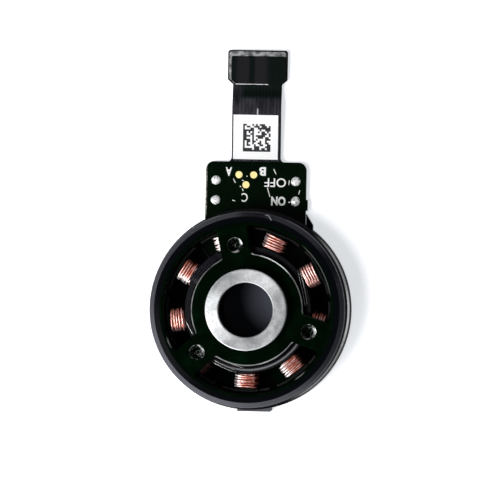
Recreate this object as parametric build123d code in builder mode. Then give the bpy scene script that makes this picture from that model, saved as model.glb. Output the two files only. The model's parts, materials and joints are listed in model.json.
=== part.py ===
from build123d import *
import os
from math import cos, radians, sin, sqrt

# A flat brushless motor with a hollow shaft.  Nine wound teeth stand still on a base, and a
# windowed bell with twelve magnets turns round them on two thin ball bearings.  A circuit board
# and its flex tail leave the base along +Y.  Millimetres, +Z up.  The origin is on the motor's
# axis, in the face of the base that the motor rests on.

os.makedirs("parts", exist_ok=True)

# ---- Driving dimensions -----------------------------------------------------------------------

# Round sizes, as radii about the motor's axis
base_radius = 14.93
bell_radius = 14.5
shaft_radius = 6.0
bore_radius = 4.0
bearing_radius = 8.0
stator_radius = 12.2
air_gap = 0.25
magnet_thickness = 1.2
tube_wall = 0.4

# Heights above the rest face
floor_top = 0.8
rim_top = 1.2
rotor_bottom = 1.4
stack_bottom = 2.1
stack_top = 4.7
face_top = 6.85
face_thickness = 0.85
shaft_top = 8.8

# Counts and angles, in degrees from +X
tooth_count = 9
first_tooth = 29.3
magnet_count = 12
spoke_count = 3
first_spoke = 101.5
spoke_width = 4.5

# Board, flex tail and connector end
board_thickness = 0.6
board_bottom = 0.4
board_offset = 0.44
board_width = 14.95
board_reach = 21.8
tail_offset = 0.37
tail_width = 7.3
tail_thickness = 0.12
end_width = 8.9
end_length = 5.1

# ---- Worked out from them ---------------------------------------------------------------------

tube_radius = bearing_radius + tube_wall
magnet_inner = stator_radius + air_gap
magnet_outer = magnet_inner + magnet_thickness
stack_middle = (stack_bottom + stack_top) / 2
face_bottom = face_top - face_thickness
board_top = board_bottom + board_thickness
tooth_pitch = 360 / tooth_count

# ---- Base -------------------------------------------------------------------------------------

rim_inner = 13.9
seat_radius = 7.5
middle_stop_radius = 7.6
bearing_width = 1.8
lower_bearing_bottom = 1.6
upper_bearing_bottom = 3.7
lower_bearing_top = lower_bearing_bottom + bearing_width
upper_bearing_top = upper_bearing_bottom + bearing_width
board_play = 0.1
board_inner_end = 6.0
board_inner_radius = 9.0
base_screw_circle = 21.0
base_screw_count = 3
first_base_screw = 30
m2_tap_radius = 0.8
tab_reach = 15.15
tab_length = 1.2
tab_width = 5.1
tab_offset = 0.85
tab_bevel = 0.25
lug_reach = 14.2
lug_foot = 12.6
lug_width = 1.0
lug_length = 3.2

with BuildPart() as base_housing:
    # Plate, rim and bearing tube; the tube has a seat below and a stop between the bearings
    with BuildSketch(Plane.XZ):
        with BuildLine():
            Polyline(
                (0, 0),
                (base_radius, 0),
                (base_radius, rim_top),
                (rim_inner, rim_top),
                (rim_inner, floor_top),
                (tube_radius, floor_top),
                (tube_radius, upper_bearing_top),
                (bearing_radius, upper_bearing_top),
                (bearing_radius, upper_bearing_bottom),
                (middle_stop_radius, upper_bearing_bottom),
                (middle_stop_radius, lower_bearing_top),
                (bearing_radius, lower_bearing_top),
                (bearing_radius, lower_bearing_bottom),
                (seat_radius, lower_bearing_bottom),
                (seat_radius, floor_top),
                (0, floor_top),
                close=True,
            )
        make_face()
    revolve(axis=Axis.Z)
    # Locating tab opposite the board, and the slanted lug beside the board
    with BuildSketch(Plane.XY):
        with Locations((tab_offset, -tab_reach)):
            Rectangle(tab_width, tab_length, align=(Align.CENTER, Align.MIN))
        with BuildLine():
            lug_side = board_offset + board_width / 2 + board_play
            Polyline(
                (lug_side, lug_reach - lug_length),
                (lug_side, lug_reach),
                (lug_side + lug_width, lug_foot),
                (lug_side + lug_width, lug_reach - lug_length),
                close=True,
            )
        make_face()
    extrude(amount=rim_top)
    tab_edges = base_housing.edges().filter_by(Axis.Z).group_by(Axis.Y)[0]
    chamfer(tab_edges.sort_by(Axis.X)[-1], tab_bevel)
    # Recess that the board lies in, open through the rim towards +Y
    with BuildSketch(Plane.XY.offset(board_bottom)):
        with Locations((board_offset, board_inner_end - board_play)):
            Rectangle(
                board_width + 2 * board_play,
                base_radius,
                align=(Align.CENTER, Align.MIN),
            )
        Circle(board_inner_radius - board_play, mode=Mode.SUBTRACT)
    extrude(amount=rim_top, mode=Mode.SUBTRACT)
    # Tapped holes for the screws that hold the motor
    with BuildSketch(Plane.XY):
        with PolarLocations(base_screw_circle / 2, base_screw_count, start_angle=first_base_screw):
            Circle(m2_tap_radius)
    extrude(amount=rim_top, mode=Mode.SUBTRACT)
base_housing.part.label = "base_housing"
export_step(base_housing.part, "parts/base_housing.step")

# ---- Stator core ------------------------------------------------------------------------------

yoke_apothem = 8.9
neck_width = 1.8
tip_inner = 11.9
slot_opening = 1.2
tip_depth = stator_radius - tip_inner

with BuildPart() as stator_core:
    with BuildSketch(Plane.XY.offset(stack_bottom)):
        # Tooth tips, parted by the slot openings
        Circle(stator_radius)
        Circle(tip_inner, mode=Mode.SUBTRACT)
        with PolarLocations(stator_radius, tooth_count, start_angle=first_tooth + tooth_pitch / 2):
            Rectangle(4 * tip_depth, slot_opening, mode=Mode.SUBTRACT)
        # Necks that end half-way into the tips, and the nine-sided yoke
        with PolarLocations(yoke_apothem, tooth_count, start_angle=first_tooth):
            Rectangle(
                tip_inner + tip_depth / 2 - yoke_apothem,
                neck_width,
                align=(Align.MIN, Align.CENTER),
            )
        RegularPolygon(yoke_apothem, tooth_count, major_radius=False, rotation=first_tooth)
        Circle(tube_radius, mode=Mode.SUBTRACT)
    extrude(amount=stack_top - stack_bottom)
stator_core.part.label = "stator_core"
export_step(stator_core.part, "parts/stator_core.step")

# ---- Insulators -------------------------------------------------------------------------------

liner = 0.15
wall_inner = 8.45
wall_outer = 9.3
wall_top = 5.35
wall_bevel = 0.15
coil_width = 3.4
coil_inner = 9.7
coil_play = 0.02
coil_outer = sqrt(tip_inner**2 - (coil_width / 2) ** 2) - coil_play
flange_width = 3.8
flange_thickness = 0.3
flange_top = 5.1
neck_length = coil_outer - yoke_apothem

with BuildPart() as upper_insulator:
    # Sleeves over the upper half of the necks
    with BuildSketch(Plane.XY.offset(stack_middle)):
        with PolarLocations(yoke_apothem, tooth_count, start_angle=first_tooth):
            Rectangle(neck_length, neck_width + 2 * liner, align=(Align.MIN, Align.CENTER))
    extrude(amount=stack_top + liner - stack_middle)
    # Round wall on the yoke that holds the coils from inside, bevelled round its mouth
    with BuildSketch(Plane.XZ):
        with BuildLine():
            Polyline(
                (wall_inner, stack_top),
                (wall_outer, stack_top),
                (wall_outer, wall_top),
                (wall_inner + wall_bevel, wall_top),
                (wall_inner, wall_top - wall_bevel),
                close=True,
            )
        make_face()
    revolve(axis=Axis.Z)
    # Straight flanges on the tooth tips
    with BuildSketch(Plane.XY.offset(stack_top)):
        with PolarLocations(coil_outer, tooth_count, start_angle=first_tooth):
            Rectangle(flange_thickness, flange_width, align=(Align.MIN, Align.CENTER))
    extrude(amount=flange_top - stack_top)
    # Room for the core
    with BuildSketch(Plane.XY.offset(stack_middle)):
        with PolarLocations(yoke_apothem, tooth_count, start_angle=first_tooth):
            Rectangle(neck_length, neck_width, align=(Align.MIN, Align.CENTER))
        RegularPolygon(yoke_apothem, tooth_count, major_radius=False, rotation=first_tooth)
    extrude(amount=stack_top - stack_middle, mode=Mode.SUBTRACT)
upper_insulator.part.label = "upper_insulator"
export_step(upper_insulator.part, "parts/upper_insulator.step")

with BuildPart() as lower_insulator:
    mirror(upper_insulator.part, about=Plane.XY.offset(stack_middle))
lower_insulator.part.label = "lower_insulator"
export_step(lower_insulator.part, "parts/lower_insulator.step")

# ---- Coils ------------------------------------------------------------------------------------

coil_build = 0.65
coil_corner = 0.5
window_width = neck_width + 2 * liner
window_height = stack_top - stack_bottom + 2 * liner

for number in range(1, tooth_count + 1):
    tooth_angle = first_tooth + (number - 1) * tooth_pitch
    outward = (cos(radians(tooth_angle)), sin(radians(tooth_angle)), 0)
    sideways = (-outward[1], outward[0], 0)
    start = (coil_inner * outward[0], coil_inner * outward[1], stack_middle)
    with BuildPart() as coil:
        with BuildSketch(Plane(start, x_dir=sideways, z_dir=outward)):
            coil_outline = Rectangle(coil_width, window_height + 2 * coil_build)
            chamfer(coil_outline.vertices(), coil_corner)
            Rectangle(window_width, window_height, mode=Mode.SUBTRACT)
        extrude(amount=coil_outer - coil_inner)
    coil.part.label = f"coil_{number}"
    export_step(coil.part, f"parts/coil_{number}.step")

# ---- Phase leads ------------------------------------------------------------------------------

wire_radius = 0.13
lead_inner = 9.8
lead_outer = 11.6
lead_top = 2.6
lead_slots = (0.5, 1.5, 2.5)

with BuildPart() as phase_leads:
    for slot in lead_slots:
        slot_angle = first_tooth + slot * tooth_pitch
        outward = (cos(radians(slot_angle)), sin(radians(slot_angle)), 0)
        upright = Plane((0, 0, 0), x_dir=outward, z_dir=(outward[1], -outward[0], 0))
        lead_height = board_top + wire_radius
        with BuildLine(upright) as lead_path:
            Polyline((lead_inner, lead_top), (lead_inner, lead_height), (lead_outer, lead_height))
        # Six sides are enough for a wire this thin
        with BuildSketch(Plane(lead_path.line @ 0, z_dir=lead_path.line % 0)):
            RegularPolygon(wire_radius, 6)
        sweep(path=lead_path.line, transition=Transition.RIGHT)
phase_leads.part.label = "phase_leads"
export_step(phase_leads.part, "parts/phase_leads.step")

# ---- Bearings ---------------------------------------------------------------------------------

race_thickness = 0.75
ball_ring_gap = 0.05
ball_ring_width = 1.0

for place, bottom in (("lower", lower_bearing_bottom), ("upper", upper_bearing_bottom)):
    with BuildPart() as inner_race:
        with BuildSketch(Plane.XY.offset(bottom)):
            Circle(shaft_radius + race_thickness)
            Circle(shaft_radius, mode=Mode.SUBTRACT)
        extrude(amount=bearing_width)
    inner_race.part.label = f"{place}_inner_race"
    export_step(inner_race.part, f"parts/{place}_inner_race.step")

    with BuildPart() as outer_race:
        with BuildSketch(Plane.XY.offset(bottom)):
            Circle(bearing_radius)
            Circle(bearing_radius - race_thickness, mode=Mode.SUBTRACT)
        extrude(amount=bearing_width)
    outer_race.part.label = f"{place}_outer_race"
    export_step(outer_race.part, f"parts/{place}_outer_race.step")

    # The balls and their cage, as the ring that they fill between the races
    with BuildPart() as ball_ring:
        with BuildSketch(Plane.XY.offset(bottom + (bearing_width - ball_ring_width) / 2)):
            Circle(bearing_radius - race_thickness - ball_ring_gap)
            Circle(shaft_radius + race_thickness + ball_ring_gap, mode=Mode.SUBTRACT)
        extrude(amount=ball_ring_width)
    ball_ring.part.label = f"{place}_ball_ring"
    export_step(ball_ring.part, f"parts/{place}_ball_ring.step")

# ---- Hollow shaft and what holds it -----------------------------------------------------------

shaft_bottom = 1.0
clip_thickness = 0.25
clip_bottom = lower_bearing_bottom - clip_thickness
clip_groove_radius = 5.6
clip_radius = 6.7
clip_opening = 5
shoulder_radius = 6.7
outer_bevel = 0.15
bore_bevel = 0.2

with BuildPart() as hollow_shaft:
    with BuildSketch(Plane.XZ):
        with BuildLine():
            Polyline(
                (bore_radius, shaft_bottom),
                (shaft_radius, shaft_bottom),
                (shaft_radius, clip_bottom),
                (clip_groove_radius, clip_bottom),
                (clip_groove_radius, lower_bearing_bottom),
                (shaft_radius, lower_bearing_bottom),
                (shaft_radius, upper_bearing_top),
                (shoulder_radius, upper_bearing_top),
                (shoulder_radius, face_bottom),
                (shaft_radius, face_bottom),
                (shaft_radius, shaft_top - outer_bevel),
                (shaft_radius - outer_bevel, shaft_top),
                (bore_radius + bore_bevel, shaft_top),
                (bore_radius, shaft_top - bore_bevel),
                close=True,
            )
        make_face()
    revolve(axis=Axis.Z)
hollow_shaft.part.label = "hollow_shaft"
export_step(hollow_shaft.part, "parts/hollow_shaft.step")

with BuildPart() as retaining_ring:
    with BuildSketch(Plane.XY.offset(clip_bottom)):
        Circle(clip_radius)
        Circle(clip_groove_radius, mode=Mode.SUBTRACT)
        with Locations((clip_radius, 0)):
            Rectangle(2 * clip_radius, clip_opening, mode=Mode.SUBTRACT)
    extrude(amount=clip_thickness)
retaining_ring.part.label = "retaining_ring"
export_step(retaining_ring.part, "parts/retaining_ring.step")

# ---- Rotor bell -------------------------------------------------------------------------------

skirt_bottom = 2.0
skirt_inner = 14.2
ring_seat = 5.4
seat_inner = 13.1
wall_height = 6.0
shoulder_outer = (14.4, 6.2)
shoulder_inner = (13.75, 6.75)
crown_radius = 12.95
window_inner = 8.3
window_outer = 12.45
window_corner = 0.5
window_bevel = 0.2
bell_screw_circle = 19.4
screw_bevel = 0.45
screw_bevel_angle = 130
boss_radius = 1.25
boss_bottom = 5.65
blind_end = 0.15

with BuildPart() as rotor_bell:
    with BuildSketch(Plane.XZ):
        with BuildLine():
            Polyline(
                (shaft_radius, face_bottom),
                (seat_inner, face_bottom),
                (seat_inner, ring_seat),
                (skirt_inner, ring_seat),
                (skirt_inner, skirt_bottom),
                (bell_radius, skirt_bottom),
                (bell_radius, wall_height),
                shoulder_outer,
                shoulder_inner,
                (crown_radius, face_top),
                (shaft_radius, face_top),
                close=True,
            )
        make_face()
    revolve(axis=Axis.Z)
    # Windows between the hub and the rim, parted by straight spokes, and a bevel round each
    with BuildSketch(Plane.XY.offset(face_top)) as windows:
        Circle(window_outer)
        Circle(window_inner, mode=Mode.SUBTRACT)
        with PolarLocations(0, spoke_count, start_angle=first_spoke):
            Rectangle(
                bell_radius,
                spoke_width,
                align=(Align.MIN, Align.CENTER),
                mode=Mode.SUBTRACT,
            )
        fillet(windows.vertices(), window_corner)
    extrude(amount=-face_thickness, mode=Mode.SUBTRACT)
    top_edges = rotor_bell.edges().group_by(Axis.Z)[-1]
    full_circles = top_edges.filter_by(lambda edge: edge.is_closed)
    chamfer([edge for edge in top_edges if edge not in full_circles], window_bevel)
    # Blind tapped holes in the spokes, with a boss below each
    with BuildSketch(Plane.XY.offset(boss_bottom)):
        with PolarLocations(bell_screw_circle / 2, spoke_count, start_angle=first_spoke):
            Circle(boss_radius)
    extrude(amount=face_bottom - boss_bottom)
    with Locations(Plane.XY.offset(face_top)):
        with PolarLocations(bell_screw_circle / 2, spoke_count, start_angle=first_spoke):
            CounterSinkHole(
                m2_tap_radius,
                m2_tap_radius + screw_bevel,
                face_top - boss_bottom - blind_end,
                counter_sink_angle=screw_bevel_angle,
            )
rotor_bell.part.label = "rotor_bell"
export_step(rotor_bell.part, "parts/rotor_bell.step")

# ---- Flux ring and magnets --------------------------------------------------------------------

flange_radius = 14.88
magnet_bottom = 1.7
magnet_top = 5.1
magnet_span = 28

with BuildPart() as flux_ring:
    with BuildSketch(Plane.XZ):
        with BuildLine():
            Polyline(
                (magnet_outer, rotor_bottom),
                (flange_radius, rotor_bottom),
                (flange_radius, skirt_bottom),
                (skirt_inner, skirt_bottom),
                (skirt_inner, ring_seat),
                (magnet_outer, ring_seat),
                close=True,
            )
        make_face()
    revolve(axis=Axis.Z)
flux_ring.part.label = "flux_ring"
export_step(flux_ring.part, "parts/flux_ring.step")

for number in range(1, magnet_count + 1):
    magnet_start = number * 360 / magnet_count - magnet_span / 2
    with BuildPart() as magnet:
        with BuildSketch(Plane.XY.offset(magnet_bottom)):
            with BuildLine():
                outer_arc = CenterArc((0, 0), magnet_outer, magnet_start, magnet_span)
                inner_arc = CenterArc((0, 0), magnet_inner, magnet_start, magnet_span)
                Line(outer_arc @ 0, inner_arc @ 0)
                Line(outer_arc @ 1, inner_arc @ 1)
            make_face()
        extrude(amount=magnet_top - magnet_bottom)
    magnet.part.label = f"magnet_{number}"
    export_step(magnet.part, f"parts/magnet_{number}.step")

# ---- Circuit board ----------------------------------------------------------------------------

board_corner = 1.2
nub_width = 1.6
nub_reach = 0.25
nub_height = 15.5
joint_columns = (-5.5, 6.36)
joint_rows = (16.06, 19.0)
joint_radius = 0.7
joint_top_radius = 0.4
joint_height = 0.35
pad_places = ((-2.1, 19.86), (0.09, 19.86), (-1.04, 18.38))
pad_radius = 0.52
pad_thickness = 0.03
sensor_circle = 13.0
sensor_count = 3
sensor_step = tooth_pitch / 2
sensor_size = (1.0, 0.9, 0.45)
board_right = board_offset + board_width / 2
ear_radius = 0.55

with BuildPart() as circuit_board:
    with BuildSketch(Plane.XY.offset(board_bottom)) as board_outline:
        with Locations((board_offset, board_inner_end)):
            Rectangle(
                board_width,
                board_reach - board_inner_end,
                align=(Align.CENTER, Align.MIN),
            )
        fillet(board_outline.vertices().group_by(Axis.Y)[-1], board_corner)
        # Stub left where the board was broken out of its panel
        with Locations((board_right, nub_height)):
            Rectangle(2 * nub_reach, nub_width)
        Circle(board_inner_radius, mode=Mode.SUBTRACT)
        # Ears with a hollow curve, one each side of the tail
        for side in (-1, 1):
            ear_foot = tail_offset + side * tail_width / 2
            with Locations((ear_foot, board_reach)):
                align_in = Align.MIN if side > 0 else Align.MAX
                Rectangle(ear_radius, ear_radius, align=(align_in, Align.MIN))
            with Locations((ear_foot + side * ear_radius, board_reach + ear_radius)):
                Circle(ear_radius, mode=Mode.SUBTRACT)
    extrude(amount=board_thickness)
circuit_board.part.label = "circuit_board"
export_step(circuit_board.part, "parts/circuit_board.step")

with BuildPart() as hall_sensors:
    with Locations((0, 0, board_top)):
        with PolarLocations(
            sensor_circle,
            sensor_count,
            start_angle=first_tooth + tooth_pitch,
            angular_range=sensor_count * sensor_step,
        ):
            Box(
                sensor_size[1],
                sensor_size[0],
                sensor_size[2],
                align=(Align.CENTER, Align.CENTER, Align.MIN),
            )
hall_sensors.part.label = "hall_sensors"
export_step(hall_sensors.part, "parts/hall_sensors.step")

with BuildPart() as solder_joints:
    with Locations([(x, y, board_top) for x in joint_columns for y in joint_rows]):
        Cone(
            joint_radius,
            joint_top_radius,
            joint_height,
            align=(Align.CENTER, Align.CENTER, Align.MIN),
        )
solder_joints.part.label = "solder_joints"
export_step(solder_joints.part, "parts/solder_joints.step")

with BuildPart() as test_pads:
    with BuildSketch(Plane.XY.offset(board_top)):
        with Locations(*pad_places):
            Circle(pad_radius)
    extrude(amount=pad_thickness)
test_pads.part.label = "test_pads"
export_step(test_pads.part, "parts/test_pads.step")

# ---- Flex tail --------------------------------------------------------------------------------

# The tail leaves the board level, climbs on a wide arc, turns over a crest and comes down to the
# level connector end.
climb_radius = 60
climb_angle = 6.48
crest_radius = 8
fall_angle = 16
foot_radius = 5.6
tail_level = 0.7
end_taper = 0.72
end_corners = 0.4

with BuildLine() as tail_line:
    climb = JernArc((board_reach, tail_level), (1, 0), climb_radius, climb_angle)
    crest = JernArc(climb @ 1, climb % 1, crest_radius, -(climb_angle + fall_angle))
    foot = JernArc(crest @ 1, crest % 1, foot_radius, fall_angle)
end_start = (foot @ 1).X
end_level = (foot @ 1).Y
end_reach = end_start + end_length

with BuildPart() as flex_tail:
    with BuildSketch(Plane.YZ.offset(tail_offset)):
        trace(tail_line.line, tail_thickness)
    extrude(amount=tail_width / 2, both=True)
    # Connector end: wider than the tail, with slanted shoulders
    with BuildSketch(Plane.XY.offset(end_level - tail_thickness / 2)) as end_outline:
        with BuildLine():
            Polyline(
                (tail_offset - tail_width / 2, end_start),
                (tail_offset + tail_width / 2, end_start),
                (tail_offset + end_width / 2, end_start + end_taper),
                (tail_offset + end_width / 2, end_reach),
                (tail_offset - end_width / 2, end_reach),
                (tail_offset - end_width / 2, end_start + end_taper),
                close=True,
            )
        make_face()
        fillet(end_outline.vertices().group_by(Axis.Y)[-1], end_corners)
    extrude(amount=tail_thickness)
flex_tail.part.label = "flex_tail"
export_step(flex_tail.part, "parts/flex_tail.step")

# ---- Label ------------------------------------------------------------------------------------

label_width = 6.65
label_shift = -0.11
label_thickness = 0.05
label_start_angle = 0.35
label_span = 6.3

with BuildPart() as code_label:
    with BuildSketch(Plane.YZ.offset(tail_offset + label_shift)):
        with BuildLine():
            label_radius = climb_radius - tail_thickness / 2
            centre = (board_reach, tail_level + climb_radius)
            lower = CenterArc(centre, label_radius, 270 + label_start_angle, label_span)
            upper = CenterArc(
                centre, label_radius - label_thickness, 270 + label_start_angle, label_span
            )
            Line(lower @ 0, upper @ 0)
            Line(lower @ 1, upper @ 1)
        make_face()
    extrude(amount=label_width / 2, both=True)
code_label.part.label = "code_label"
export_step(code_label.part, "parts/code_label.step")

# ---- Stiffened connector end ------------------------------------------------------------------

plate_margin = 0.22
plate_thickness = 0.2
pad_inset_left = 0.35
pad_inset_right = 0.02
pad_inset_far = 0.71
pad_corner = 0.25
pad_bevel = 0.08
stiffener_pad_thickness = 0.35
end_top = end_level + tail_thickness / 2
end_bottom = end_level - tail_thickness / 2
plate_width = end_width - 2 * plate_margin
plate_length = end_length - 2 * plate_margin
pad_width = plate_width - pad_inset_left - pad_inset_right
pad_length = plate_length - pad_inset_far + plate_margin

with BuildPart() as stiffener_plate:
    with BuildSketch(Plane.XY.offset(end_top)) as plate_outline:
        with Locations((tail_offset, end_reach - plate_margin)):
            Rectangle(plate_width, plate_length, align=(Align.CENTER, Align.MAX))
        chamfer(plate_outline.vertices().group_by(Axis.Y)[0], end_taper)
        fillet(plate_outline.vertices().group_by(Axis.Y)[-1], end_corners)
    extrude(amount=plate_thickness)
stiffener_plate.part.label = "stiffener_plate"
export_step(stiffener_plate.part, "parts/stiffener_plate.step")

with BuildPart() as stiffener_pad:
    with BuildSketch(Plane.XY.offset(end_top + plate_thickness)) as pad_outline:
        with Locations((tail_offset + (pad_inset_left - pad_inset_right) / 2, end_start)):
            Rectangle(pad_width, pad_length, align=(Align.CENTER, Align.MIN))
        chamfer(pad_outline.vertices().group_by(Axis.Y)[0], end_taper)
        fillet(pad_outline.vertices().group_by(Axis.Y)[-1], pad_corner)
    extrude(amount=stiffener_pad_thickness)
    chamfer(stiffener_pad.faces().sort_by(Axis.Z)[-1].edges(), pad_bevel)
stiffener_pad.part.label = "stiffener_pad"
export_step(stiffener_pad.part, "parts/stiffener_pad.step")

housing_width = 6.8
housing_depth = 2.6
housing_corner = 0.2
cavity_width = 5.6
cavity_depth = 1.3
cavity_height = 0.4
contacts_per_row = 12
contact_pitch = 0.4
contact_size = (0.2, 0.35, 0.15)
end_middle = end_start + end_taper + (end_length - end_taper) / 2

with BuildPart() as connector_housing:
    with BuildSketch(Plane.XY):
        with Locations((tail_offset, end_middle)):
            RectangleRounded(housing_width, housing_depth, housing_corner)
    extrude(amount=end_bottom)
    with BuildSketch(Plane.XY):
        with Locations((tail_offset, end_middle)):
            Rectangle(cavity_width, cavity_depth)
    extrude(amount=cavity_height, mode=Mode.SUBTRACT)
connector_housing.part.label = "connector_housing"
export_step(connector_housing.part, "parts/connector_housing.step")

with BuildPart() as connector_contacts:
    row_spacing = housing_depth + contact_size[1]
    with Locations((tail_offset, end_middle, end_bottom)):
        with GridLocations(contact_pitch, row_spacing, contacts_per_row, 2):
            Box(*contact_size, align=(Align.CENTER, Align.CENTER, Align.MAX))
connector_contacts.part.label = "connector_contacts"
export_step(connector_contacts.part, "parts/connector_contacts.step")
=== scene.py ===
import json
import math

import bmesh
import bpy
import numpy as np
from mathutils import Matrix, Vector


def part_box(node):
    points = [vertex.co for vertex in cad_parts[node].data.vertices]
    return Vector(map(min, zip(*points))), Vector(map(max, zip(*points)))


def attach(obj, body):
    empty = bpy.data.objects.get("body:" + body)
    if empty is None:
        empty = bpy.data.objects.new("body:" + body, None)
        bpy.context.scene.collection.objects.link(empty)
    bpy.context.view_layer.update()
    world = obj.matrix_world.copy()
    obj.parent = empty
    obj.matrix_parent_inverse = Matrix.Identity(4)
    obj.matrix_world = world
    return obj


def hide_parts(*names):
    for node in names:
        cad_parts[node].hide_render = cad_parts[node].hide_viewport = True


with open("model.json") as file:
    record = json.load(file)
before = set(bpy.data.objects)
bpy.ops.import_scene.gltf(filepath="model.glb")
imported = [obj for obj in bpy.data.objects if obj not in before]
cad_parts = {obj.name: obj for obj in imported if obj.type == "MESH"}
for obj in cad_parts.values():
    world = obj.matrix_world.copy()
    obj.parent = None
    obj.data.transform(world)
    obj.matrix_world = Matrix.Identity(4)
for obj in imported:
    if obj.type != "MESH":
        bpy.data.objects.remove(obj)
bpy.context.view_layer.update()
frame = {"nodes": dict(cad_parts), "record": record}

bl_info = {
    "name": "Hollow Shaft Motor",
    "version": (1, 0, 0),
    "blender": (4, 5, 0),
    "location": "3D View > Sidebar > Motor",
    "description": "Windings, solder, print, finishes and stage for a flat hollow-shaft motor",
    "category": "Object",
}

MM = 0.001


# ---- Measures read from the frame, in millimetres ----

def corners(node):
    """Lowest and highest corner of a CAD node."""
    low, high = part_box(node)
    return np.array(low) / MM, np.array(high) / MM


def mesh_points(node):
    """All points of a CAD node."""
    vertices = frame["nodes"][node].data.vertices
    points = np.empty(len(vertices) * 3)
    vertices.foreach_get("co", points)
    return points.reshape(-1, 3) / MM


def names_like(stem):
    """CAD nodes called stem_1, stem_2 and so on, in order of their number."""
    found = [name for name in frame["nodes"] if name.rpartition("_")[0] == stem]
    return sorted(found, key=lambda name: int(name.rpartition("_")[2]))


def frame_mount(name):
    """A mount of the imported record."""
    return next(mount for mount in frame["record"]["mounts"] if mount["name"] == name)


board_low, board_high = corners("circuit_board")
board_left, board_top = board_low[0], board_high[2]
bell_high = corners("rotor_bell")[1]
bell_radius, bell_face = bell_high[0], bell_high[2]
# where a finish changes on the bell, and the middle of the insulators' round wall
crown_radius, shoulder_radius, shoulder_foot, wall_height = 12.95, 13.75, 6.2, 6.0
hub_radius, window_radius = 8.3, 12.45
wall_middle = 8.88
shaft_radius = frame_mount("hub_ring")["dims"]["r_mm"]
shaft_bore = np.hypot(*mesh_points("hollow_shaft")[:, :2].T).min()
label_low, label_high = corners("code_label")
label_middle = (label_low + label_high) / 2
pad_low, pad_high = corners("stiffener_pad")

# a layer of wire sinks into the grooves of the one below, so it adds less than a whole wire
NESTING = 0.87


def bell_screw_places():
    """Centres of the bell's screw holes, from the bosses that stand lowest inside the bell."""
    x, y, z = mesh_points("rotor_bell").T
    boss = (np.hypot(x, y) < hub_radius + 3) & (z < bell_face - 1)
    third = 2 * np.pi / 3
    first = np.mean(np.arctan2(y[boss], x[boss]) % third)
    circle = frame_mount("bell_screws")["dims"]["pcd_mm"] / 2
    angles = [first + k * third for k in range(3)]
    return [(circle * math.cos(angle), circle * math.sin(angle)) for angle in angles]


# ---- Sizes and colours that a user would change ----

def number(name, description, default, low, high, **kind):
    """A length, angle or power that a user would change."""
    return bpy.props.FloatProperty(
        name=name, description=description, default=default, min=low, max=high, **kind)


def colour(name, description, default):
    """A colour that a user would change."""
    return bpy.props.FloatVectorProperty(
        name=name, description=description, default=default, min=0.0, max=1.0, subtype="COLOR")


class MotorWindings(bpy.types.PropertyGroup):
    wire_diameter: number(
        "Wire Diameter", "Outside of the enamelled wire, in millimetres", 0.345, 0.05, 0.6)
    layers: bpy.props.IntProperty(
        name="Layers", description="Layers of wire on each tooth", default=2, min=1, max=4)
    wander: number(
        "Wander", "How far a turn strays along the tooth, in millimetres", 0.09, 0.0, 0.3)
    overhang: number(
        "Overhang", "How far the turns start inside the plain coil, in millimetres", 0.33, 0.0, 0.35)
    shortfall: number(
        "Shortfall", "How far they end before the plain coil does, in millimetres", 0.13, 0.0, 0.5)
    seed: bpy.props.IntProperty(name="Seed", description="Start of the random draws", default=11)
    copper: colour("Copper", "Colour of the enamelled copper", (0.78, 0.21, 0.13))


class MotorBoard(bpy.types.PropertyGroup):
    solder_height: number("Solder Height", "Height of a solder dome, in millimetres", 0.34, 0.1, 1.0)
    letter_height: number(
        "Letter Height", "Height of the printed letters, in millimetres", 1.32, 0.5, 3.0)
    mask: colour("Solder Mask", "Colour of the board's lacquer", (0.0004, 0.0036, 0.0010))
    ink: colour("Ink", "Colour of the printed letters", (0.84, 0.85, 0.84))
    gold: colour("Gold", "Colour of the test pads and contacts", (0.93, 0.74, 0.34))


class MotorMetal(bpy.types.PropertyGroup):
    anodised: colour("Anodised", "Colour of the black bell and base", (0.0004, 0.0032, 0.0010))
    steel: colour("Steel", "Colour of the bare steel", (0.56, 0.57, 0.58))
    shaft: colour("Shaft", "Colour of the matte shaft", (0.56, 0.57, 0.58))


class MotorStage(bpy.types.PropertyGroup):
    floor: colour("Floor", "Colour of the floor", (0.82, 0.82, 0.84))
    distance: number("Distance", "From the camera to the floor", 1.2, 0.1, 5.0, subtype="DISTANCE")
    tilt: number("Tilt", "Lean of the view away from straight down", math.radians(5.72),
                 0.0, math.pi / 2, subtype="ANGLE")
    lean: number("Lean", "Way that the view leans, from its own right", math.radians(6.5),
                 -math.pi, math.pi, subtype="ANGLE")
    roll: number("Roll", "Turn of the view about its own line", math.radians(1.1),
                 -math.pi, math.pi, subtype="ANGLE")
    view_width: number("View Width", "Width of floor that the view takes in", 0.07407, 0.01, 2.0,
                       subtype="DISTANCE")
    key_power: number("Key Power", "Power of the main softbox", 3.5, 0.0, 100.0, subtype="POWER")


# ---- Meshes ----

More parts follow.
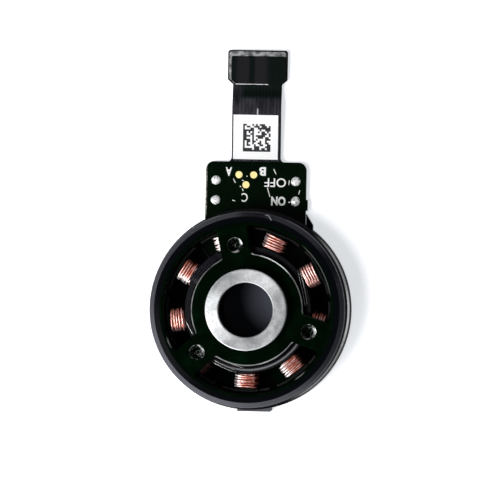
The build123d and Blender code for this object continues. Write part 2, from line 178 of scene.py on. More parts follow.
class Shell:
    """Points and faces of one piece, gathered from grids of points, in millimetres."""

    def __init__(self):
        self.points = []
        self.faces = []
        self.count = 0

    def add(self, points, faces):
        """Adds points, and faces that count from the first of them."""
        self.faces += [[corner + self.count for corner in face] for face in faces]
        self.points.append(points)
        self.count += len(points)

    def grid(self, points, rings=False):
        """Adds the quads between neighbouring points of a grid, rows by columns by three.

        With rings, each row is closed on itself, and flat faces close the first and last rows.
        """
        rows, columns = points.shape[:2]
        index = np.arange(rows * columns).reshape(rows, columns)
        here, below = index[:-1], index[1:]
        if rings:
            quads = np.stack([here, np.roll(here, -1, 1), np.roll(below, -1, 1), below], axis=-1)
        else:
            quads = np.stack([here[:, :-1], here[:, 1:], below[:, 1:], below[:, :-1]], axis=-1)
        ends = [index[0, ::-1].tolist(), index[-1].tolist()] if rings else []
        self.add(points.reshape(-1, 3), quads.reshape(-1, 4).tolist() + ends)

    def mesh_object(self, name, material, smooth=True, **numbers):
        """Makes the object at the origin.

        numbers, each with one value a point, are kept with the mesh for its material to read.
        """
        mesh = bpy.data.meshes.new(name)
        mesh.from_pydata((np.concatenate(self.points) * MM).tolist(), [], self.faces)
        mesh.validate()
        mesh.polygons.foreach_set("use_smooth", np.full(len(mesh.polygons), smooth))
        mesh.materials.append(material)
        for key, values in numbers.items():
            mesh.attributes.new(key, "FLOAT", "POINT").data.foreach_set("value", values.ravel())
        made = bpy.data.objects.new(name, mesh)
        bpy.context.scene.collection.objects.link(made)
        return made

    def piece(self, name, material, slot, **looks):
        """Makes a piece of the stator and attaches it to the stator's body; slot is not used."""
        piece = self.mesh_object(name, material, **looks)
        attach(piece, "stator")
        return piece


def tube(path, diameter, side, sections=8):
    """A round tube along a path: each ring is a circle in the plane across the path, measured
    from the direction `side`, made square to the path."""
    along = np.gradient(path, axis=0)
    along /= np.linalg.norm(along, axis=1, keepdims=True)
    first = side - (along @ side)[:, None] * along
    first /= np.linalg.norm(first, axis=1, keepdims=True)
    second = np.cross(along, first)
    angle = np.linspace(0, 2 * np.pi, sections, endpoint=False)[None, :, None]
    ring = np.cos(angle) * first[:, None] + np.sin(angle) * second[:, None]
    return path[:, None] + diameter / 2 * ring


def wound_path(length, half_width, half_height, sizes, random):
    """The line of one wire wound in layers round a tooth that points along +X.

    At turn t the wire is at the angle 2 pi t on a rounded rectangle, the superellipse
    |y/w|^n + |z/h|^n = 1, whose half sizes w and h grow by most of a wire with each layer.
    Its exponent n is 12 in the first layer, nearly as square as the tooth's sleeve, and 4 in the
    next ones.  Along the tooth the wire moves by its own width a turn, outwards in the first layer,
    back in the second and so on.  To that are added the mean of three slow sines with random
    phases, as loose winding has, and a lean: a slow sine times the place across the tooth.
    Another slow sine loosens the turns.

    Returns the line, beside each point the direction away from the tooth, and its layer from 0.
    """
    wire, layers = sizes.wire_diameter, sizes.layers
    steps_per_turn = 32
    turns = int((length - wire) / wire)
    turn = np.arange(turns * layers * steps_per_turn) / steps_per_turn
    layer = np.minimum(turn // turns, layers - 1)
    exponent = np.where(layer == 0, 12, 4)
    within = turn - layer * turns
    sweep = np.where(layer % 2 == 0, within, turns - within)

    def wave(rate, phase):
        return np.sin(2 * np.pi * rate * turn + phase)

    phase = random.uniform(0, 2 * np.pi, (5, 1))
    rates = np.array([[0.37], [0.81], [1.63]]) * (1 + 0.2 * random.uniform(-1, 1, (3, 1)))
    stray = wave(rates, phase[:3]).mean(axis=0)
    lean = wave(0.41, phase[3])
    loose = 1 + wave(0.29, phase[4])
    growth = wire * (0.5 + NESTING * layer)
    slack = sizes.wander * (layer + 1) / layers
    wide = half_width + growth + 0.5 * slack * loose
    high = half_height + growth - 0.1 * slack * loose
    cosine, sine = np.cos(2 * np.pi * turn), np.sin(2 * np.pi * turn)
    across = wide * np.sign(cosine) * np.abs(cosine) ** (2 / exponent)
    up = high * np.sign(sine) * np.abs(sine) ** (2 / exponent)
    along = wire / 2 + sweep * (length - wire) / turns + slack * (stray + 0.9 * lean * across / wide)
    outward = np.stack([0 * turn,
                        np.sign(across) * np.abs(across / wide) ** (exponent - 1),
                        np.sign(up) * np.abs(up / high) ** (exponent - 1)], axis=-1)
    outward /= np.linalg.norm(outward, axis=1, keepdims=True)
    line = np.stack([np.clip(along, wire / 2, length - wire / 2), across, up], axis=-1)
    return line, outward, layer


def dome(centre, radius, height, random, rings=14, columns=36):
    """A solder dome: at u from 0 to 1 the ring's radius is the cosine and its height the sine of
    a quarter turn, with a flared foot, and the radius swells and shrinks with two random waves."""
    u = np.linspace(0, 0.97, rings)[:, None]
    angle = np.linspace(0, 2 * np.pi, columns, endpoint=False)[None, :]
    first, second = random.uniform(0, 2 * np.pi, 2)
    swell = 1 + 0.035 * np.cos(2 * angle + first) + 0.02 * np.cos(3 * angle + second)
    spread = radius * swell * (np.cos(u * np.pi / 2) * 0.9 + 0.1 * (1 - u) ** 3)
    lean = 0.12 * radius * u
    x = centre[0] + spread * np.cos(angle) + lean * math.cos(first)
    y = centre[1] + spread * np.sin(angle) + lean * math.sin(first)
    z = centre[2] + height * np.sin(u * np.pi / 2) ** 0.9 + 0 * angle
    return np.stack([x, y, z], axis=-1)


def plate(outline, low, high):
    """The outline, points in X and Y, as one ring at the low height and one at the high."""
    return np.stack([np.column_stack([outline, np.full(len(outline), z)]) for z in (low, high)])


def bar(start, end, width):
    """The four corners of a straight stroke from start to end."""
    start, end = np.array(start), np.array(end)
    along = (end - start) / np.linalg.norm(end - start)
    side = np.array([-along[1], along[0]]) * width / 2
    return np.array([start + side, start - side, end - side, end + side])


# ---- Materials ----

def both(operation):
    """The plain and the reflected form of an operator that adds one Math node."""
    return (lambda self, other: self.nodes.maths(operation, self, other),
            lambda self, other: self.nodes.maths(operation, other, self))


class Amount:
    """A number that varies over a surface.  Sums, products and powers of it add Math nodes, and
    so does a | b, the larger of two."""

    def __init__(self, nodes, socket):
        self.nodes = nodes
        self.socket = socket

    __add__, __radd__ = both("ADD")
    __sub__, __rsub__ = both("SUBTRACT")
    __mul__, __rmul__ = both("MULTIPLY")
    __truediv__, __rtruediv__ = both("DIVIDE")
    __pow__, __rpow__ = both("POWER")
    __or__, __ror__ = both("MAXIMUM")

    def __abs__(self):
        return self.nodes.maths("ABSOLUTE", self)

    def step(self, low, high, start=0.0, end=1.0):
        """Goes smoothly from start to end as this amount goes from low to high."""
        made = self.nodes.node("ShaderNodeMapRange", {"interpolation_type": "SMOOTHSTEP"}, Value=self,
                               From_Min=low, From_Max=high, To_Min=start, To_Max=end)
        return Amount(self.nodes, made.outputs["Result"])

    def fall(self, low, high):
        """Goes smoothly from 1 to 0 as this amount goes from low to high."""
        return self.step(low, high, 1.0, 0.0)

    def band(self, low, high, soft):
        """1 between low and high, 0 outside, with soft edges."""
        return self.step(low - soft, low + soft) * self.fall(high - soft, high + soft)


class Nodes:
    """The node tree of a material or of the world."""

    def __init__(self, tree):
        self.tree = tree
        tree.nodes.clear()

    def node(self, kind, settings=None, **sockets):
        """Adds a node: its own settings first, then a value or a link for each named socket."""
        made = self.tree.nodes.new(kind)
        for key, value in (settings or {}).items():
            setattr(made, key, value)
        for key, value in sockets.items():
            self.feed(made, key, value)
        return made

    def feed(self, node, key, value):
        """Sets or links the socket whose identifier or name is key, spaces read as underscores."""
        socket = next(s for s in node.inputs if key in (s.identifier, s.name.replace(" ", "_")))
        if isinstance(value, Amount):
            value = value.socket
        if isinstance(value, bpy.types.NodeSocket):
            self.tree.links.new(value, socket)
        else:
            wide = socket.type == "RGBA" and len(value) == 3
            socket.default_value = (*value, 1.0) if wide else value

    def maths(self, operation, *values):
        """A Math node on one or two numbers or amounts."""
        sockets = dict(zip(("Value", "Value_001"), values))
        made = self.node("ShaderNodeMath", {"operation": operation}, **sockets)
        return Amount(self, made.outputs[0])

    def rays(self, **shares):
        """The sum of the shares of the kinds of light ray that are named, such as Camera=1."""
        kinds = self.node("ShaderNodeLightPath").outputs
        return sum(share * Amount(self, kinds[f"Is {kind} Ray"]) for kind, share in shares.items())


class Finish(Nodes):
    """A material in the making, with its Principled shader and the part's own coordinates."""

    def __init__(self, name, **constants):
        self.material = bpy.data.materials.new(name)
        self.material.use_nodes = True
        super().__init__(self.material.node_tree)
        self.shader = self.node("ShaderNodeBsdfPrincipled", **constants)
        self.output = self.node("ShaderNodeOutputMaterial", Surface=self.shader.outputs["BSDF"])
        coordinates = self.node("ShaderNodeTexCoord").outputs["Object"]
        scale = self.node("ShaderNodeVectorMath", {"operation": "SCALE"}, Vector=coordinates,
                          Scale=1 / MM)
        self.place = scale.outputs["Vector"]
        axes = self.node("ShaderNodeSeparateXYZ", Vector=self.place)
        self.x, self.y, self.z = (Amount(self, axes.outputs[axis]) for axis in "XYZ")

    def noise(self, scale, detail=3, stretch=(1, 1, 1)):
        """Fractal noise from 0 to 1, scale in features a millimetre."""
        moved = self.node("ShaderNodeVectorMath", {"operation": "MULTIPLY"}, Vector=self.place,
                          Vector_001=stretch)
        made = self.node("ShaderNodeTexNoise", Vector=moved.outputs[0], Scale=scale, Detail=detail,
                         Roughness=0.55)
        return Amount(self, made.outputs[0])

    def wave_noise(self, along, scale, detail):
        """Noise that varies along one amount only, as turning marks do with the radius."""
        made = self.node("ShaderNodeTexNoise", {"noise_dimensions": "1D"}, W=along, Scale=scale,
                         Detail=detail)
        return Amount(self, made.outputs[0])

    def attribute(self, name):
        """A number kept with the mesh, one for each point."""
        made = self.node("ShaderNodeAttribute", {"attribute_name": name})
        return Amount(self, made.outputs["Fac"])

    def radius(self):
        """Distance from the motor's axis."""
        return (self.x * self.x + self.y * self.y) ** 0.5

    def towards(self, azimuth):
        """The cosine of the angle, seen from above, between a place and an azimuth in degrees."""
        azimuth = math.radians(azimuth)
        return (self.x * math.cos(azimuth) + self.y * math.sin(azimuth)) / self.radius()

    def sides(self, *stretches):
        """A sum of stretches round the axis.  Each has its strength, its azimuth in degrees, and
        the cosines from that azimuth at which it starts and is full."""
        return sum(strength * self.towards(azimuth).step(start, full)
                   for strength, azimuth, start, full in stretches)

    def nearest(self, places):
        """Distance in the XY plane from the nearest of some places."""
        least = 1e3
        for x, y in places:
            across, along = self.x - x, self.y - y
            least = self.maths("MINIMUM", least, (across * across + along * along) ** 0.5)
        return least

    def marks(self, *strokes):
        """1 on straight marks in the XY plane.  Each has its start, end, width and soft edge."""
        drawn = 0.0
        for (x0, y0), (x1, y1), width, soft in strokes:
            length = math.hypot(x1 - x0, y1 - y0)
            ux, uy = (x1 - x0) / length, (y1 - y0) / length
            along = (self.x - x0) * ux + (self.y - y0) * uy
            across = abs((self.x - x0) * -uy + (self.y - y0) * ux)
            inside = across.fall(width / 2 - soft, width / 2 + soft)
            drawn = drawn | inside * along.band(0, length, 2 * soft)
        return drawn

    def mix(self, factor, first, second):
        """The first colour where factor is 0, the second where it is 1."""
        made = self.node("ShaderNodeMix", {"data_type": "RGBA"}, Factor_Float=factor,
                         A_Color=first, B_Color=second)
        return next(s for s in made.outputs if s.identifier == "Result_Color")

    def paint(self, tone, rough, height=None, depth=0.0, **others):
        """Feeds the shader its colour, its roughness, the relief of a height whose 1 stands depth
        millimetres up, and any other sockets, and gives back the material."""
        if height is not None:
            bump = self.node("ShaderNodeBump", Height=height, Strength=1.0, Distance=depth * MM)
            others["Normal"] = bump.outputs["Normal"]
        for key, value in {"Base_Color": tone, "Roughness": rough, **others}.items():
            self.feed(self.shader, key, value)
        return self.material


def shade(value, factor):
    """The colour made lighter or darker by a factor."""
    return tuple(min(1.0, channel * factor) for channel in value)


def dress(material, *nodes):
    """Gives CAD nodes their material."""
    for node in nodes:
        for slot in frame["nodes"][node].material_slots:
            slot.material = material


def mottled(name, grain, dark, light, rough, depth=0.0, **constants):
    """A plain material of one noise, with the scale, detail and stretch that grain gives: it goes
    from dark to light, and rough holds its roughness at 0 and how much that rises."""
    finish = Finish(name, **constants)
    speck = finish.noise(*grain)
    tone = finish.mix(speck, dark, light)
    return finish.paint(tone, rough[0] + rough[1] * speck, speck if depth else None, depth)


def anodised_metal(name, black):
    """Black anodising on turned aluminium, with fine turning marks and a faint mottle.

    Returns the material in the making, its colour, its roughness and its relief.
    """
    finish = Finish(name, Specular_IOR_Level=0.008)
    turning = finish.wave_noise(finish.radius(), 14, 4)
    grain = finish.noise(22)
    smudge = finish.noise(0.55, 4).step(0.42, 0.72)
    tone = finish.mix(smudge, shade(black, 0.8), shade(black, 1.7))
    rough = 0.08 + 0.06 * finish.noise(1.3, 4) + 0.03 * grain
    return finish, tone, rough, 0.5 * turning + 0.5 * grain


# ---- Operators: one for each piece or group of like pieces ----

class MOTOR_OT_finish_bell(bpy.types.Operator):
    """Gives the bell its black anodising, with turning marks and small knocks"""
    bl_idname = "motor.finish_bell"
    bl_label = "Finish Bell"

    # two places where the shoulder is painted darker as shade
    shade_spots = ((0.8, 14.0), (12.2, 7.0))
    # two spots on the windows' outer bevel with a painted glint
    glint_spots = ((-11.2, -5.0), (7.9, -9.4))
    # painted highlights on the hub's bevel, by the side it faces
    polished = (
        (1.0, 68, 0.84, 0.96), (0.6, 302, 0.90, 0.99),
        (0.45, 25, 0.93, 0.99), (0.28, 158, 0.93, 0.98),
    )
    knocks = (
        ((2.45, 13.97), (2.92, 13.98), 0.14, 0.05), ((2.88, 13.98), (3.40, 13.28), 0.16, 0.06),
        ((0.34, 11.78), (1.81, 11.81), 0.07, 0.03),
    )

    def execute(self, context):
        black = context.scene.motor_metal.anodised
        finish, tone, rough, height = anodised_metal("bell_anodising", black)
        r, z = finish.radius(), finish.z
        crown = r.step(crown_radius - 0.25, crown_radius + 0.2)
        tone = finish.mix(crown, tone, (0.0022, 0.0026, 0.0038))

        # the pale shoulder, painted darker as shade in two places and on one side, and the lip and
        # wall below it
        shoulder = r.step(shoulder_radius - 0.04, shoulder_radius + 0.04)
        shoulder = shoulder * z.step(shoulder_foot - 0.12, shoulder_foot)
        shoulder = shoulder * finish.nearest(self.shade_spots).step(0.8, 3.6, 0.3, 1.0)
        shoulder = shoulder * finish.towards(20).step(0.16, 0.65, 1.0, 0.5)
        matte = finish.mix(finish.noise(9), (0.060, 0.060, 0.071), (0.080, 0.080, 0.092))
        tone = finish.mix(shoulder, tone, matte)
        # painted highlight: the lip is painted paler to make a bright line at the edge
        lip_highlight = z.band(wall_height, shoulder_foot, 0.03)
        tone = finish.mix(lip_highlight, tone, (0.10, 0.102, 0.115))
        wall = z.fall(wall_height - 0.1, wall_height)

        # the bevels of the hub and of the windows, worn bare in places, with painted highlights that
        # depend on the side they face and painted glints at two spots
        bevel = z.band(bell_face - 0.2, bell_face - 0.03, 0.02)
        hub_edge = bevel * r.band(hub_radius - 0.3, hub_radius + 0.05, 0.03)
        window_edge = bevel * r.band(window_radius - 0.05, window_radius + 0.3, 0.03)
        wear = finish.noise(0.5).step(0.38, 0.6)
        wear_and_glint = 0.10 + 0.22 * wear + 0.40 * finish.sides(*self.polished)
        rubbed = finish.sides((0.07, 30, 0.93, 0.98))
        spot_glints = 0.2 * finish.nearest(self.glint_spots).fall(0.4, 1.1)
        # bare holds worn bare metal together with painted highlights
        bare = hub_edge * wear_and_glint | window_edge * (rubbed | spot_glints)

        # the screws' seats, each with a painted highlight crescent, painted reflection curls and a
        # thin ring of thread
        places = bell_screw_places()
        hole = finish.nearest(places)
        sink = hole.fall(1.18, 1.26) * z.fall(bell_face - 0.02, bell_face)
        patchy = finish.noise(1.1, 2).step(0.4, 0.62)
        lit = finish.nearest([(x - 0.35, y + 0.05) for x, y in places]).step(0.98, 1.12)
        lit = 0.55 * lit * hole.fall(1.1, 1.16) * patchy
        reflection_curls = 0.2 * finish.noise(1.5, 1).band(0.47, 0.50, 0.008) * hole.fall(0.75, 0.9)
        thread = hole.band(1.07, 1.12, 0.03) * (0.02 + 0.28 * patchy)
        thread_and_glints = sink * (lit | reflection_curls | thread)

        tone = finish.mix(finish.marks(*self.knocks), tone, (0.34, 0.34, 0.36))
        # the painted highlights and reflections in the screw seats join the bare metal here
        bare = bare | thread_and_glints
        tone = finish.mix(bare, tone, (0.86, 0.87, 0.89))
        rough = rough + 0.32 * shoulder + 0.15 * bare + 0.5 * wall
        metallic = bare | 0.65 * (shoulder | lip_highlight)
        material = finish.paint(tone, rough, height + 12 * thread_and_glints, 0.0015, Metallic=metallic)
        dress(material, "rotor_bell")
        return {"FINISHED"}


class MOTOR_OT_finish_base(bpy.types.Operator):
    """Gives the base its black anodising"""
    bl_idname = "motor.finish_base"
    bl_label = "Finish Base"

    def execute(self, context):
        black = context.scene.motor_metal.anodised
        finish, tone, rough, height = anodised_metal("base_anodising", black)
        tab = finish.y.fall(-bell_radius, 0.2 - bell_radius)
        matte = finish.mix(finish.noise(6), (0.075, 0.077, 0.090), (0.11, 0.112, 0.128))
        tone = finish.mix(tab, tone, matte)
        inside = finish.radius().fall(shaft_bore, shaft_bore + 0.5)
        tone = finish.mix(inside, tone, (0.068, 0.072, 0.090))
        dress(finish.paint(tone, rough + 0.3 * tab, height, 0.002), "base_housing")
        return {"FINISHED"}


class MOTOR_OT_finish_shaft(bpy.types.Operator):
    """Gives the shaft its matte, cloudy silver, with painted highlights and shade on its top"""
    bl_idname = "motor.finish_shaft"
    bl_label = "Finish Shaft"

    # painted highlights on the top, by the side they face
    bright = (
        (0.33, 70, 0.60, 0.98), (0.45, 185, 0.70, 0.98),
        (0.34, 212, 0.80, 0.98), (0.14, 308, 0.88, 0.99),
    )

    def execute(self, context):
        silver = context.scene.motor_metal.shaft
        finish = Finish("shaft_silver", Metallic=0.85)
        r = finish.radius()
        cloud, fine = finish.noise(0.55, 5), finish.noise(14)
        # a cloudy mottle with painted highlights on four sides and painted shade towards 120 and 300
        # degrees
        shine = 0.13 + 0.22 * cloud.step(0.36, 0.58) + finish.sides(*self.bright)
        shine = shine - 0.08 * abs(finish.towards(120)).step(0.8, 1.0)
        tone = finish.mix(shine, shade(silver, 0.25), shade(silver, 1.25))
        streak = finish.noise(0.9, 5).band(0.485, 0.505, 0.008)
        tone = finish.mix(0.45 * streak, tone, shade(silver, 0.25))
        # painted highlights along the edge of the bore and the outer edge of the top
        rim_highlight = r.fall(shaft_bore + 0.12, shaft_bore + 0.24)
        rim_highlight = rim_highlight | r.step(shaft_radius - 0.2, shaft_radius - 0.1)
        tone = finish.mix(0.7 * rim_highlight, tone, shade(silver, 1.5))
        lining = r.fall(shaft_bore + 0.02, shaft_bore + 0.08)
        tone = finish.mix(lining, tone, (0.004, 0.005, 0.005))
        scratch = finish.marks(((-5.9, 2.1), (-5.0, 1.55), 0.09, 0.04))
        tone = finish.mix(0.7 * scratch, tone, shade(silver, 0.35))
        rough = 0.36 + 0.16 * cloud + 0.05 * fine
        turning = finish.wave_noise(r, 9, 2)
        dress(finish.paint(tone, rough, 0.4 * fine + 0.3 * cloud + turning, 0.008), "hollow_shaft")
        return {"FINISHED"}


class MOTOR_OT_finish_steel(bpy.types.Operator):
    """Gives the flux ring, stiffener plate, bearings and clip their bare steel"""
    bl_idname = "motor.finish_steel"
    bl_label = "Finish Steel"

    def execute(self, context):
        steel = context.scene.motor_metal.steel
        material = mottled("turned_steel", (3.0, 4, (1, 1, 14)), shade(steel, 0.7),
                           shade(steel, 1.2), (0.24, 0.2), 0.003, Metallic=1.0)
        dress(material, "retaining_ring")
        for part in ("inner_race", "outer_race", "ball_ring"):
            dress(material, f"upper_{part}", f"lower_{part}")

        # relief that falls as the radius grows makes the flat flange shade as an eased edge
        finish = Finish("plated_flange", Metallic=1.0)
        r = finish.radius()
        streak = finish.noise(2.5, 4, stretch=(1, 1, 8))
        flange = corners("flux_ring")[1][0]
        # painted light: the flange is pale on the side towards -8 degrees and painted dark as shade
        # elsewhere
        bright = r.fall(flange - 0.12, flange - 0.05) * finish.towards(-8).step(0.50, 0.75)
        tone = finish.mix(streak, shade(steel, 0.9), (0.97, 0.97, 0.98))
        tone = finish.mix(bright, (0.02, 0.02, 0.022), tone)
        dress(finish.paint(tone, 0.16 + 0.1 * streak, -1 * r, 0.5), "flux_ring")

        finish = Finish("brushed_plate", Metallic=1.0)
        brushing = finish.noise(2.2, 4, stretch=(1, 9, 1))
        stain = finish.noise(1.1).step(0.35, 0.65)
        tone = finish.mix(stain, shade(steel, 0.14), shade(steel, 0.7))
        dress(finish.paint(tone, 0.26 + 0.22 * brushing, brushing, 0.01), "stiffener_plate")
        return {"FINISHED"}


class MOTOR_OT_finish_stator(bpy.types.Operator):
    """Gives the laminations, the insulators and the magnets their finishes"""
    bl_idname = "motor.finish_stator"
    bl_label = "Finish Stator"

    sheets = 13

    def execute(self, context):
        finish = Finish("laminated_steel", Metallic=1.0)
        low, high = corners("stator_core")
        sheet = (finish.z - low[2]) * (self.sheets / (high[2] - low[2]))
        gap = abs(finish.maths("FRACT", sheet) - 0.5).step(0.36, 0.5)
        rust = finish.noise(1.5)
        tone = finish.mix(gap, (0.05, 0.05, 0.055), (0.01, 0.01, 0.01))
        tone = finish.mix(0.4 * rust.step(0.55, 0.75), tone, (0.05, 0.03, 0.02))
        dress(finish.paint(tone, 0.42 + 0.2 * rust, 1 - gap, 0.02), "stator_core")

        # painted shade towards the tips, and a painted highlight on the edge of the round wall on one
        # side
        finish = Finish("insulator_moulding", Specular_IOR_Level=0.08)
        r = finish.radius()
        flow = finish.noise(0.9)
        tone = finish.mix(flow, (0.002, 0.002, 0.003), (0.006, 0.006, 0.009))
        tone = finish.mix(r.step(10.5, 11.5), tone, (0.0005, 0.002, 0.0008))
        # painted highlight on one side of the round wall's edge
        mouth_highlight = r.band(wall_middle - 0.10, wall_middle + 0.16, 0.04)
        mouth_highlight = mouth_highlight * (0.42 * finish.x - 0.9 * finish.y).step(4.5, 8.0)
        tone = finish.mix(mouth_highlight, tone, (0.16, 0.16, 0.17))
        material = finish.paint(tone, 0.3 + 0.2 * flow, finish.noise(9), 0.006)
        dress(material, "upper_insulator", "lower_insulator")

        epoxy = mottled("magnet_epoxy", (5, 4), (0.004, 0.004, 0.005), (0.012, 0.012, 0.013),
                        (0.35, 0.18), Specular_IOR_Level=0.35)
        dress(epoxy, *names_like("magnet"))
        return {"FINISHED"}


class MOTOR_OT_wind_coils(bpy.types.Operator):
    """Winds enamelled wire round every tooth, in the place of the plain coils"""
    bl_idname = "motor.wind_coils"
    bl_label = "Wind Coils"

    # for each coil in turn: how far its top sways sideways, how much painted light its crests take
    # (below 0 the coil is painted in shade), and how much painted highlight it takes all over
    sways = (0.45, 0, 0.35, 0, 0, 0, 0, -0.45, -0.15)
    clean = (1, 1, 1, 1, 1, -0.6, 1, 1, 1)
    glint_boost = (0.35, 0.1, 0.5, 0, 0.1, 0, 0, 0, 0)
    lit_side = np.array([0.83, 0.56])

    def execute(self, context):
        sizes = context.scene.motor_windings
        material = self.enamel(sizes.copper)
        wire = sizes.wire_diameter
        build = wire * (1 + NESTING * (sizes.layers - 1))
        for number, node in enumerate(names_like("coil")):
            points = mesh_points(node)
            middle = (points.min(axis=0) + points.max(axis=0)) / 2
            angle = math.atan2(middle[1], middle[0])
            cosine, sine = math.cos(angle), math.sin(angle)
            turn = np.array([[cosine, -sine, 0], [sine, cosine, 0], [0, 0, 1]])
            local = points @ turn
            low, high = local.min(axis=0), local.max(axis=0)
            path, outward, layer = wound_path(
                high[0] - low[0] + sizes.overhang - sizes.shortfall, high[1] - build,
                (high[2] - low[2]) / 2 - build, sizes, np.random.default_rng(sizes.seed + number))
            # the first layer holds to the tooth, and the others sway most at the top
            rise = np.clip(path[:, 2] / path[:, 2].max(), 0, 1)
            path[:, 1] += (layer > 0) * self.sways[number] * rise ** 3
            path += (low[0] - sizes.overhang, 0, (high[2] + low[2]) / 2)
            rings = tube(path, wire, np.array([1.0, 0.0, 0.0]))
            crest = ((rings - path[:, None]) * outward[:, None]).sum(axis=2) / (wire / 2)
            across = path[:, 1] / path[:, 1].max()
            # painted highlight on the end of each coil that faces the light
            lit = -across * (turn[:2, 1] @ self.lit_side)
            rubbed = self.glint_boost[number] + np.clip((lit - 0.25) / 0.35, 0, 1)
            shell = Shell()
            shell.grid(rings @ turn.T, rings=True)
            winding = shell.piece(
                f"winding_{number + 1}", material, "enamelled_copper",
                crest=self.clean[number] * crest, rubbed=rubbed[:, None] + 0 * crest)
            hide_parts(node)

        varnish = mottled("lead_varnish", (3,), (0.001, 0.001, 0.001), (0.004, 0.003, 0.003),
                          (0.3, 0.2), Specular_IOR_Level=0.08)
        dress(varnish, "phase_leads")
        return {"FINISHED"}

    @staticmethod
    def enamel(copper):
        """Enamelled copper.  The mesh's crest is 1 along the outside of a turn and -1 along its
        inside, the other way and weaker on a winding painted in shade, and a second attribute is how
        much painted highlight its enamel takes.  The crests are painted pale as highlights, and the
        grooves and the insides of turns dark as painted shade."""
        # painted shade for the insides of turns and the grooves between wires, and the pale of the
        # painted highlights
        inner_shade, groove_shade, pale = (0.01, 0.003, 0.002), (0.40, 0.03, 0.015), (0.99, 0.90, 0.88)
        finish = Finish("enamelled_wire", Metallic=0.75, Coat_Weight=0.5, Coat_Roughness=0.25)
        drift = finish.noise(1.6, 4)
        crest = finish.attribute("crest")
        tone = finish.mix(drift.step(0.38, 0.58), (0.74, 0.22, 0.15), shade(copper, 1.15))
        tone = finish.mix(crest.step(0.50, 0.99), groove_shade, tone)
        tone = finish.mix(crest.step(-0.6, 0.3), inner_shade, tone)
        bright = crest.step(0.86, 0.99) * drift.step(0.40, 0.60)
        bright = bright | finish.attribute("rubbed") * crest.step(0.1, 0.75)
        return finish.paint(finish.mix(bright, tone, pale), 0.28 + 0.16 * drift)


class MOTOR_OT_lay_crossovers(bpy.types.Operator):
    """Lays the wires that cross from coil to coil on the insulator's wall"""
    bl_idname = "motor.lay_crossovers"
    bl_label = "Lay Crossovers"

    # for each finish: the ends of its runs in X and Y, and how many wires lie side by side
    runs = {
        "bare_wire": (
            ((-9.25, -1.60), (-7.75, -4.20), 1), ((-5.30, -7.50), (-1.30, -9.20), 2),
            ((-3.60, -7.55), (0.05, -8.72), 1), ((7.35, 6.30), (8.75, 0.20), 2),
        ),
        "sleeved_wire": (((-8.45, 3.75), (-4.15, 7.95), 4),),
    }

    def execute(self, context):
        wire = context.scene.motor_windings.wire_diameter
        bare = mottled("bare_wire", (1.2,), (0.22, 0.22, 0.22), (0.55, 0.55, 0.54), (0.2, 0.2),
                       Metallic=0.9)
        sleeved = mottled("sleeved_wire", (5,), (0.003, 0.003, 0.005), (0.012, 0.011, 0.018),
                          (0.2, 0.15), Specular_IOR_Level=0.3)
        wall_top = mesh_points("upper_insulator")[:, 2].max()
        for material, diameter in ((bare, 0.32 * wire), (sleeved, 0.72 * wire)):
            shell = Shell()
            for start, end, count in self.runs[material.name]:
                for line in self.lines(start, end, count, 0.9 * wire, wall_top + diameter / 2):
                    shell.grid(tube(line, diameter, np.array([0.0, 0.0, 1.0])), rings=True)
            shell.piece(f"{material.name}_crossovers", material, "enamelled_copper")
        return {"FINISHED"}

    @staticmethod
    def lines(start, end, count, spacing, height):
        """Side by side wires: straight from start to end with a slight bow away from the axis,
        and a height that falls off with the eighth power of the distance from the middle, so
        that both ends go down beside the coils."""
        start, end = np.array(start), np.array(end)
        share = np.linspace(0, 1, 40)[:, None]
        middle = (start + end) / 2
        outward = middle / np.linalg.norm(middle)
        drop = 0.7 * np.abs(2 * share - 1) ** 8
        for wire in range(count):
            shift = (wire - (count - 1) / 2) * spacing
            bow = 0.08 * (1 + wire) * 4 * share * (1 - share)
            flat = start + (end - start) * share + outward * (shift + bow)
            yield np.hstack([flat, height - drop])


class MOTOR_OT_finish_board(bpy.types.Operator):
    """Gives the circuit board its dark lacquer, traces under it and pale cut edges"""
    bl_idname = "motor.finish_board"
    bl_label = "Finish Board"

    def execute(self, context):
        settings = context.scene.motor_board
        mask, gold = settings.mask, settings.gold
        finish = Finish("board_lacquer", Specular_IOR_Level=0.04)
        x, y = finish.x, finish.y
        sides = 1 - finish.z.step(board_top - 0.05, board_top - 0.02)
        patch = finish.noise(0.35, 2)
        traces = finish.maths("PINGPONG", x + 0.25 * y, 0.55).band(0.16, 0.3, 0.03)
        traces = traces * patch.step(0.46, 0.56) * y.step(15.0, 20.5)
        weave = finish.noise(6, 2, (1, 0.15, 1)) + finish.noise(6, 2, (0.15, 1, 1))
        lacquer = finish.mix(traces, mask, shade(mask, 2.2))
        stained = finish.noise(5).step(0.4, 0.6)
        edge = finish.mix(stained, (0.04, 0.04, 0.03), (0.50, 0.49, 0.45))
        bared = x.fall(board_left + 0.16, board_left + 0.26) * finish.noise(3).step(0.3, 0.5)
        bared = bared * y.step(bell_radius - 1, bell_radius)
        tone = finish.mix(sides | bared, lacquer, edge)
        rough = 0.1 + 0.1 * patch + 0.4 * sides
        dress(finish.paint(tone, rough, 0.5 * traces + 0.1 * weave, 0.008), "circuit_board")

        plastic = mottled("sensor_body", (12,), (0.012, 0.012, 0.013), (0.03, 0.03, 0.032),
                          (0.5, 0.2), 0.01, Specular_IOR_Level=0.4)
        dress(plastic, "hall_sensors")
        flash = mottled("gold_flash", (3, 4), shade(gold, 0.85), shade(gold, 1.1), (0.28, 0.2),
                        0.004, Metallic=1.0)
        dress(flash, "test_pads", "connector_contacts")
        return {"FINISHED"}


